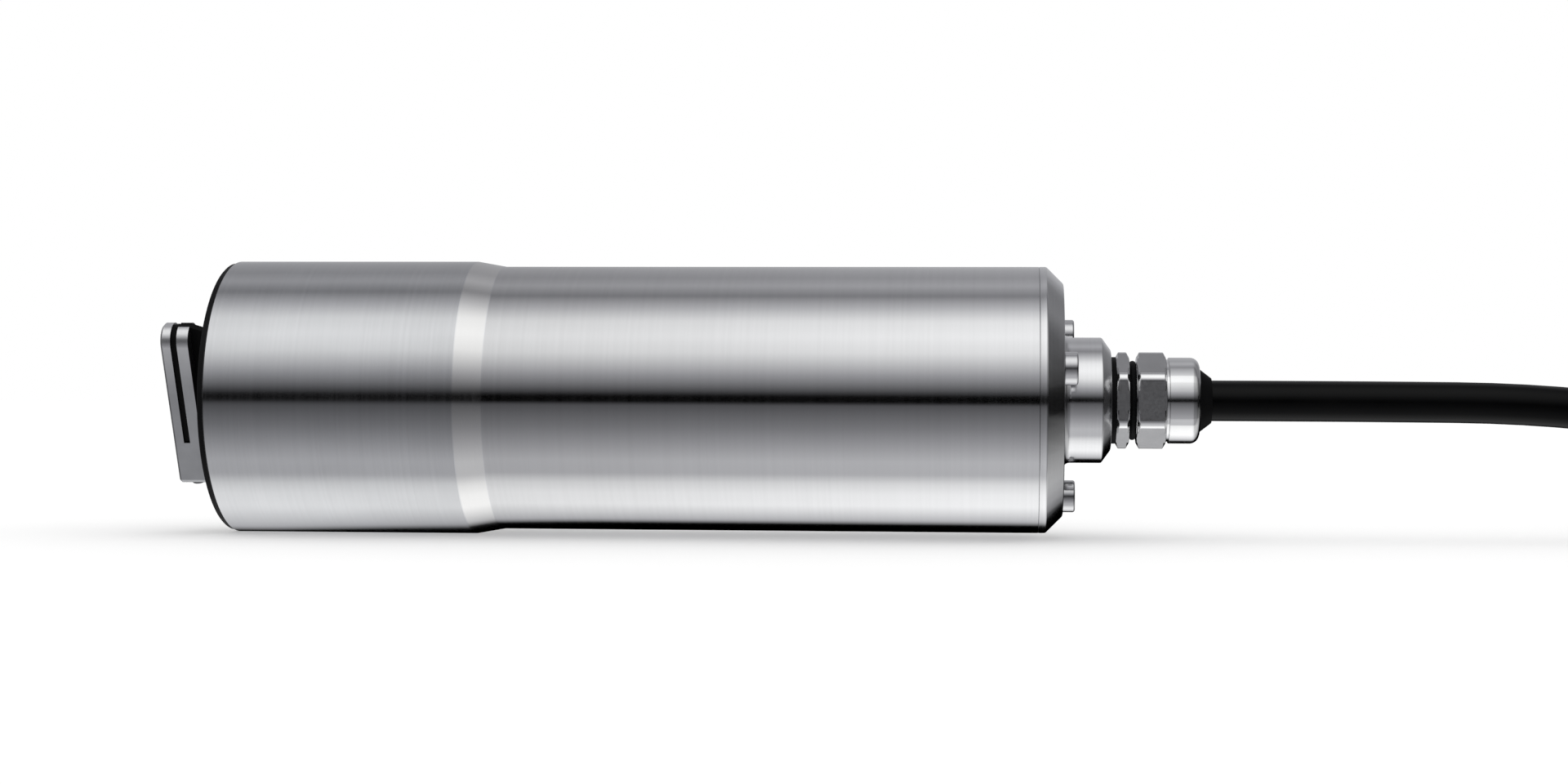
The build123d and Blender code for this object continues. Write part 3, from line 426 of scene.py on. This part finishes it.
def finished_mesh(name, work, sharp_angle):
    """A mesh from a bmesh, smooth except where its faces meet at more than an angle in degrees."""
    mesh = bpy.data.meshes.new(name)
    work.to_mesh(mesh)
    work.free()
    mesh.shade_smooth()
    mesh.set_sharp_from_angle(angle=math.radians(sharp_angle))
    return mesh


def new_piece(name, vertices, faces):
    plain = bpy.data.meshes.new(name + "_plain")
    plain.from_pydata(vertices, [], faces)
    work = bmesh.new()
    work.from_mesh(plain)
    bpy.data.meshes.remove(plain)
    bmesh.ops.recalc_face_normals(work, faces=work.faces)
    return new_object(name, finished_mesh(name, work, sharp_angle=35))


def stand_in(piece, body, slot, finish, *nodes_replaced):
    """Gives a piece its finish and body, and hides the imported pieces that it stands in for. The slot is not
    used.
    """
    piece.data.materials.append(finishes[finish])
    true_faces = piece.modifiers.new("true_faces", "WEIGHTED_NORMAL")
    true_faces.keep_sharp = True
    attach(piece, body)
    if nodes_replaced:
        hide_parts(*nodes_replaced)
    return piece


# Gland


def round_section(count=180):
    """Angles round a circle, each with a distance of a metre, which limits nothing."""
    return [(2 * math.pi * index / count, 1.0) for index in range(count)]


def hexagon_section(flats, corner_r, steps=8):
    """Angles and distances round a hexagon with rounded corners, two of them straight up and down."""
    middle_r = (flats / 2 - corner_r) / math.cos(math.radians(30))
    corners = []
    for corner in range(6):
        toward = math.radians(90 + 60 * corner)
        for step in range(steps):
            lean = toward + math.radians(60 * (step / (steps - 1) - 0.5))
            y = middle_r * math.cos(toward) + corner_r * math.cos(lean)
            z = middle_r * math.sin(toward) + corner_r * math.sin(lean)
            corners.append(Vector((y, z)))
    points = []
    for index, here in enumerate(corners):
        points.append(here)
        if index % steps == steps - 1:
            after = corners[(index + 1) % len(corners)]
            points += [here.lerp(after, share) for share in (0.25, 0.5, 0.75)]
    return [(math.atan2(point.y, point.x), point.length) for point in points]


def hexagon_outline(x0, x1, flats, chamfer, steps=8):
    """The turned-down rims of a hexagon, in short steps so that their curved edges stay smooth."""
    corner_r = flats / math.sqrt(3)
    drop = chamfer / math.tan(math.radians(30))
    shares = [step / steps for step in range(steps + 1)]
    rising = [(x0 + chamfer * share, corner_r - drop * (1 - share)) for share in shares]
    falling = [(x1 - chamfer * share, corner_r - drop * (1 - share)) for share in reversed(shares)]
    return rising + falling


def spun(name, outline, section):
    """A closed outline of (x, radius) spun about the probe's axis, no further out than a section allows."""
    vertices = []
    for angle, reach in section:
        for x, radius in outline:
            r = min(radius, reach)
            vertices.append((x, r * math.cos(angle), AXIS_Z + r * math.sin(angle)))
    rows, count = len(section), len(outline)
    faces = []
    for row in range(rows):
        for column in range(count):
            here, after = row * count, (row + 1) % rows * count
            beside = (column + 1) % count
            faces.append((here + column, here + beside, after + beside, after + column))
    return new_piece(name, vertices, faces)


def build_gland_nut():
    start, end = nut_low[0], nut_high[0]
    hex_end = start + NUT_HEX_LENGTH
    dome_start = hex_end + NUT_GROOVE
    outline = hexagon_outline(start, hex_end, HEX_FLATS, HEX_CHAMFER)
    outline += [(hex_end, NUT_GROOVE_R), (dome_start, NUT_GROOVE_R)]
    outline += [(dome_start, DOME_R - DOME_EDGE), (dome_start + DOME_EDGE, DOME_R)]
    for turn in arc(0, 90, 8):
        x = end - DOME_ROUND + DOME_ROUND * math.sin(turn)
        outline.append((x, DOME_R - DOME_ROUND + DOME_ROUND * math.cos(turn)))
    outline += [(end, MOUTH_R + MOUTH_EDGE), (end - MOUTH_EDGE, MOUTH_R), (start, NUT_BORE_R)]
    return spun("gland_nut_turned", outline, hexagon_section(HEX_FLATS, HEX_CORNER_R))


def build_gland_body():
    low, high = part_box("gland_body")
    hex_end = HEX_X + THIN_HEX_LENGTH
    outline = [(low[0], STEM_R)]
    for turn in range(int((HEX_X - low[0] - THREAD_PITCH) / THREAD_PITCH)):
        x = low[0] + (turn + THREAD_LEAD_IN) * THREAD_PITCH
        outline += [(x, STEM_R), (x + THREAD_PITCH / 2, STEM_R - THREAD_DEPTH)]
    outline += [(HEX_X, STEM_R)]
    outline += hexagon_outline(HEX_X, hex_end, HEX_FLATS, HEX_CHAMFER)
    outline += [(hex_end, NECK_R), (nut_low[0], NECK_R), (nut_low[0], THREAD_R), (high[0], THREAD_R)]
    outline += [(high[0], GLAND_BORE_R), (low[0], GLAND_BORE_R)]
    return spun("gland_body_turned", outline, hexagon_section(HEX_FLATS, HEX_CORNER_R))


def build_neck_shade_ring():
    """A black ring in the groove between the thin hexagon and the nut, a dark piece that stands in for the
    shade lying in that gap.
    """
    start = HEX_X + THIN_HEX_LENGTH
    middle = (start + nut_low[0]) / 2
    half = (nut_low[0] - start) / 2 - NECK_RING_GAP
    outline = [
        (middle - half * math.cos(turn), NECK_RING_BASE_R + NECK_RING_CROWN * math.sin(turn))
        for turn in arc(0, 180, 8)
    ]
    return spun("gland_neck_shade_ring", outline, round_section())


def darken_flats(piece, start, length, lean=0.1, spread=2.5):
    """The flats of a hexagon get a rougher finish than the rest of the piece, and a darker tone that is
    painted shade for the darker light they reflect.

    A face counts as a flat where its normal leans along X by less than lean, and is within
    spread degrees of a flat's own direction."""
    piece.data.materials.append(finishes["flats_painted_darker"])
    for face in piece.data.polygons:
        turn = math.degrees(math.atan2(face.normal.z, face.normal.y))
        off_flat = abs((turn + 30) % 60 - 30)
        if start < face.center.x < start + length and abs(face.normal.x) < lean and off_flat < spread:
            face.material_index = 1


gland_nut = stand_in(build_gland_nut(), "root", "plated_metal", "plated_metal", "gland_nut")
darken_flats(gland_nut, nut_low[0], NUT_HEX_LENGTH)
gland_body = stand_in(build_gland_body(), "root", "plated_metal", "plated_metal", "gland_body")
darken_flats(gland_body, HEX_X, THIN_HEX_LENGTH)
# Painted shade: a black ring fills the neck's groove, standing in for the shade there
stand_in(build_neck_shade_ring(), "root", "black_rubber", "black_rubber")


# Broken edges

# Points closer than this are one, faces within this angle are one, and edges past this angle are broken
SAME_POINT = 0.001 * MM
SAME_FACE = math.radians(1)
SHARP_EDGE = math.radians(25)


def eased_copy(node, width, body, slot, finish):
    """The same piece with its sharp edges broken, as a deburred or tumbled part has."""
    work = bmesh.new()
    work.from_mesh(nodes[node].data)
    bmesh.ops.remove_doubles(work, verts=work.verts, dist=SAME_POINT)
    bmesh.ops.dissolve_limit(
        work, angle_limit=SAME_FACE, use_dissolve_boundaries=False, verts=work.verts, edges=work.edges
    )
    sharp = [e for e in work.edges if len(e.link_faces) == 2 and e.calc_face_angle() > SHARP_EDGE]
    bmesh.ops.bevel(
        work, geom=sharp, offset=width, offset_type="OFFSET", segments=2, profile=0.5,
        affect="EDGES", clamp_overlap=True,
    )
    name = node + "_eased"
    piece = new_object(name, finished_mesh(name, work, sharp_angle=40))
    return stand_in(piece, body, slot, finish, node)


eased_copy("rear_cap", 0.25 * MM, "root", "bright_steel", "cap_steel")
eased_copy("cap_screws", 0.15 * MM, "root", "bright_steel", "screw_steel")
eased_copy("wiper_arm", 0.45 * MM, "wiper", "cast_steel", "cast_steel")
eased_copy("wiper_clamp_screw", 0.2 * MM, "wiper", "bright_steel", "dark_screw")


# Straps


def strap_path(low, high, corner_r, steps=6):
    """Points round the hank, from the middle of its underside."""
    (y0, z0), (y1, z1) = low, high
    points = [(0.0, z0)]
    for cy, cz, start in ((y1, z0, -90), (y1, z1, 0), (y0, z1, 90), (y0, z0, 180)):
        middle = (cy - math.copysign(corner_r, cy), cz + (corner_r if cz == z0 else -corner_r))
        for turn in arc(start, start + 90, steps):
            points.append((middle[0] + corner_r * math.cos(turn), middle[1] + corner_r * math.sin(turn)))
    return [Vector(point) for point in points]


def ribbon(path, x0, x1, thick, closed):
    """Vertices and faces of a flat strap with rounded long edges that follows a path in Y and Z."""
    count = len(path)
    section = [
        (x0 + STRAP_EDGE, 0.0), (x0, 0.25), (x0, 0.75), (x0 + STRAP_EDGE, 1.0),
        (x1 - STRAP_EDGE, 1.0), (x1, 0.75), (x1, 0.25), (x1 - STRAP_EDGE, 0.0),
    ]
    vertices = []
    for index, here in enumerate(path):
        before = path[index - 1] if closed or index else here
        after = path[(index + 1) % count] if closed or index < count - 1 else here
        along = (after - before).normalized()
        inward = Vector((-along.y, along.x))
        for x, depth in section:
            place = here + inward * thick * (1.0 - depth)
            vertices.append((x, place.x, place.y))
    faces = []
    size = len(section)
    for index in range(count if closed else count - 1):
        for side in range(size):
            a, b = index * size, (index + 1) % count * size
            faces.append((a + side, a + (side + 1) % size, b + (side + 1) % size, b + side))
    if not closed:
        faces += [tuple(range(size)), tuple(range((count - 1) * size, count * size))]
    return vertices, faces


def build_straps():
    around = strap_path((tie_low[1], 0.0), (tie_high[1], tie_high[2]), STRAP_CORNER_R)
    lap_low = Vector((tie_high[1] + LAP_THICK, LAP_LOW_Z))
    lap_high = Vector((tie_high[1] + LAP_THICK, tie_high[2] - LAP_BELOW_TOP))
    lap = [lap_low.lerp(lap_high, step / LAP_STEPS) for step in range(LAP_STEPS + 1)]
    ribbons = ((around, 0.0, STRAP_THICK, True), (lap, LAP_INSET, LAP_THICK, False))
    vertices, faces = [], []
    for x0 in (tie_low[0], tie_high[0] - STRAP_WIDTH):
        for path, inset, thick, closed in ribbons:
            more, sides = ribbon(path, x0 + inset, x0 + STRAP_WIDTH - inset, thick, closed)
            base = len(vertices)
            vertices += more
            faces += [tuple(base + corner for corner in side) for side in sides]
    return new_piece("hank_straps", vertices, faces)


straps = stand_in(build_straps(), "root", "strap", "strap", "hank_ties")


# Cable


def turn_points(bend_r, next_r, z, next_z, wander):
    """One turn of the hank: out along +Y's side, round the far bend, back, and round the near bend."""
    far_x = HANK_NEAR_X + HANK_STRAIGHT
    swells = [1.0] + [BEND_SWELL] * (BEND_STEPS - 1) + [1.0]
    points = [(HANK_NEAR_X + HANK_STRAIGHT * share, bend_r, z) for share in STRAIGHT_SHARES]
    for angle, swell in zip(arc(90, -90, BEND_STEPS), swells):
        reach = bend_r * swell
        points.append((far_x + wander + reach * math.cos(angle), reach * math.sin(angle), z))
    points += [(far_x - HANK_STRAIGHT * share, -bend_r, z) for share in STRAIGHT_SHARES]
    for step, angle in enumerate(arc(270, 90, BEND_STEPS)):
        part = step / BEND_STEPS
        reach = (bend_r + (next_r - bend_r) * part) * swells[step]
        height = z + (next_z - z) * (part * part * (3 - 2 * part))
        points.append((HANK_NEAR_X - wander + reach * math.cos(angle), reach * math.sin(angle), height))
    return points


def hank_points():
    """All turns: up the outer lane, down the middle one, up the inner one."""
    places = []
    for lane in range(HANK_LANES):
        bend_r = HANK_INNER_BEND_R + (HANK_LANES - 1 - lane) * 2 * CABLE_R
        layers = range(HANK_LAYERS) if lane % 2 == 0 else reversed(range(HANK_LAYERS))
        places += [(bend_r, CABLE_R * (1 + 2 * layer)) for layer in layers]
    places.append(places[-1])
    points = []
    for turn, (here, after) in enumerate(zip(places, places[1:])):
        points += turn_points(here[0], after[0], here[1], after[1], WANDER * math.sin(WANDER_STEP * turn))
    return points


def in_metres(points):
    return [tuple(value * MM for value in point) for point in points]


# From the gland down to the hank's first turn, and from its last turn to the plug, in millimetres
LEAD = [
    (148.0, 0.0, 30.0), (184.0, 0.0, 29.7), (220.0, 6.0, 25.5),
    (250.0, 24.0, 14.5), (280.0, 41.0, 6.2), (312.0, 45.0, 4.5),
]
TAIL = [(342.0, 27.0, 49.5), (363.0, 29.0, 53.0), (386.0, 34.2, 59.6), (410.0, 36.0, 63.0)]


def build_cable():
    curve = bpy.data.curves.new("sensor_cable", "CURVE")
    curve.dimensions = "3D"
    spline = curve.splines.new("NURBS")
    points = [(EXIT_X, 0.0, AXIS_Z)] + in_metres(LEAD) + hank_points() + in_metres(TAIL)
    spline.points.add(len(points) - 1)
    for control, place in zip(spline.points, points):
        control.co = (*place, 1.0)
    spline.order_u = 3
    spline.use_endpoint_u = True
    curve.resolution_u = 5
    curve.bevel_depth = CABLE_R
    curve.bevel_resolution = 5
    curve.use_fill_caps = True
    curve.materials.append(finishes["cable_jacket"])
    return new_object("sensor_cable", curve)


cable = build_cable()
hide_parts("cable_lead", "cable_hank", "cable_tail")
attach(cable, "root")


# Light, floor and camera

# The studio light round the probe's axis, as (height in degrees, level). Seen from the camera's side,
# 0 faces the camera, 90 is straight up and -90 straight down. A wide softbox hangs over the probe,
# pale floor light comes from under it, and between them lies the dark slit where the camera stands.
LIGHT_RING = [
    (-180, 0.0), (-140, 0.0), (-130, 0.6), (-105, 1.2), (-90, 1.15), (-78, 0.95), (-68, 0.58), (-55, 0.6),
    (-35, 0.36), (-25, 0.25), (-5, 0.1), (-3.5, 0.0), (2.5, 0.0), (5, 0.05), (20, 0.4), (40, 1.0),
    (55, 1.15), (70, 1.05), (85, 0.6), (100, 0.26), (115, 0.45), (130, 0.36), (180, 0.5),
]

# Its strength along the probe: -1 is beyond the wiper, and 1 beyond the cable
LIGHT_ALONG = [
    (-1, 0.3), (-0.7, 0.55), (-0.45, 1.0), (-0.2, 0.86), (0, 1.04), (0.1, 1.08), (0.3, 1.0),
    (0.5, 0.6), (0.75, 0.54), (0.9, 0.3), (1, 0.05),
]

# Towards the cable's end the ring spreads away from the camera's side: heights are read lower there,
# by up to this share
LIGHT_TAPER = 0.16

# Under the probe and past this angle, the ring is also drawn out towards the wiper's end: what lies
# beyond the angle counts by this share, which sets in between these two leans towards that end
LOW_ANGLE = math.radians(-104)
LOW_STRETCH = 0.62
STRETCH_FROM = 0.16
STRETCH_TO = 0.27

WHITE = (1.0, 1.0, 1.0)

# Half the floor's side in metres, its own colour, and the part of its brightness that takes no shadow
FLOOR_HALF = 6.0
FLOOR_TONE = (0.8, 0.8, 0.8)
FLOOR_GLOW = 0.24


def cool_grey(level):
    """Dim parts of the studio are a little bluish, and bright ones are neutral."""
    return (level * 0.985, level * 0.99, level * (1.06 - 0.07 * min(level, 1.0)))


def cleared_graph(owner):
    """The emptied node tree of a world or material."""
    owner.use_nodes = True
    owner.node_tree.nodes.clear()
    return Graph(owner.node_tree)


def build_world():
    """White to the camera and to matt surfaces, and the ring of studio light to glossy ones."""
    world = bpy.data.worlds.new("studio")
    bpy.context.scene.world = world
    g = cleared_graph(world)
    toward = g.split(g.add("ShaderNodeTexCoord").outputs["Generated"])
    height = g.math("ARCTAN2", toward["Z"], g.math("MULTIPLY", toward["Y"], -1.0))
    height = g.math("MULTIPLY", height, g.range(toward["X"], 0.0, 1.0, 1.0, 1.0 - LIGHT_TAPER))
    to_wiper = g.math("MULTIPLY", toward["X"], -1.0)
    stretch = g.range(to_wiper, STRETCH_FROM, STRETCH_TO, 1.0, LOW_STRETCH)
    above = g.math("MAXIMUM", height, LOW_ANGLE)
    below = g.math("MINIMUM", g.math("SUBTRACT", height, LOW_ANGLE), 0.0)
    height = g.math("ADD", above, g.math("MULTIPLY", below, stretch))
    around_stops = [(degrees / 360 + 0.5, cool_grey(level)) for degrees, level in LIGHT_RING]
    around = g.ramp(g.range(height, -math.pi, math.pi, 0.0, 1.0), around_stops)
    along_stops = [((x + 1) / 2, (level, level, level)) for x, level in LIGHT_ALONG]
    along = g.ramp(g.range(toward["X"], -1.0, 1.0, 0.0, 1.0), along_stops)
    ring = g.add("ShaderNodeBackground", {"Color": around, "Strength": along}).outputs[0]
    white = g.add("ShaderNodeBackground", {"Color": WHITE}).outputs[0]
    ray = g.add("ShaderNodeLightPath").outputs
    lit = g.either(ray["Is Glossy Ray"], white, ring)
    g.add("ShaderNodeOutputWorld", {"Surface": g.either(ray["Is Camera Ray"], lit, white)})


def build_floor():
    """A pale floor. Part of its brightness to the camera is its own, and the rest takes the shadow."""
    mesh = bpy.data.meshes.new("floor")
    corners = [(x * FLOOR_HALF, y * FLOOR_HALF, 0) for x, y in ((-1, -1), (1, -1), (1, 1), (-1, 1))]
    mesh.from_pydata(corners, [], [(0, 1, 2, 3)])
    floor = new_object("floor", mesh)
    material = bpy.data.materials.new("floor")
    g = cleared_graph(material)
    pale = g.add("ShaderNodeBsdfDiffuse", {"Color": FLOOR_TONE}).outputs[0]
    ray = g.add("ShaderNodeLightPath").outputs
    seen = g.math("MAXIMUM", ray["Is Camera Ray"], ray["Is Transmission Ray"])
    glow = g.add("ShaderNodeEmission", {"Strength": g.math("MULTIPLY", seen, FLOOR_GLOW)}).outputs[0]
    both = g.add("ShaderNodeAddShader", {0: pale, 1: glow}).outputs[0]
    g.add("ShaderNodeOutputMaterial", {"Surface": both})
    mesh.materials.append(material)
    floor.visible_glossy = False


def build_camera():
    data = bpy.data.cameras.new("camera")
    data.sensor_width = SENSOR_WIDTH
    data.lens = FOCAL_PX / PHOTO_WIDTH * SENSOR_WIDTH
    data.clip_start = 10 * MM
    camera = new_object("camera", data)
    turn = Matrix.Rotation(CAMERA_YAW, 4, "Z") @ Matrix.Rotation(math.pi / 2, 4, "X")
    camera.matrix_world = Matrix.Translation(CAMERA_AT) @ turn @ Matrix.Rotation(CAMERA_ROLL, 4, "Z")
    bpy.context.scene.camera = camera


build_world()
build_floor()
build_camera()
bpy.context.scene.view_settings.view_transform = "Standard"
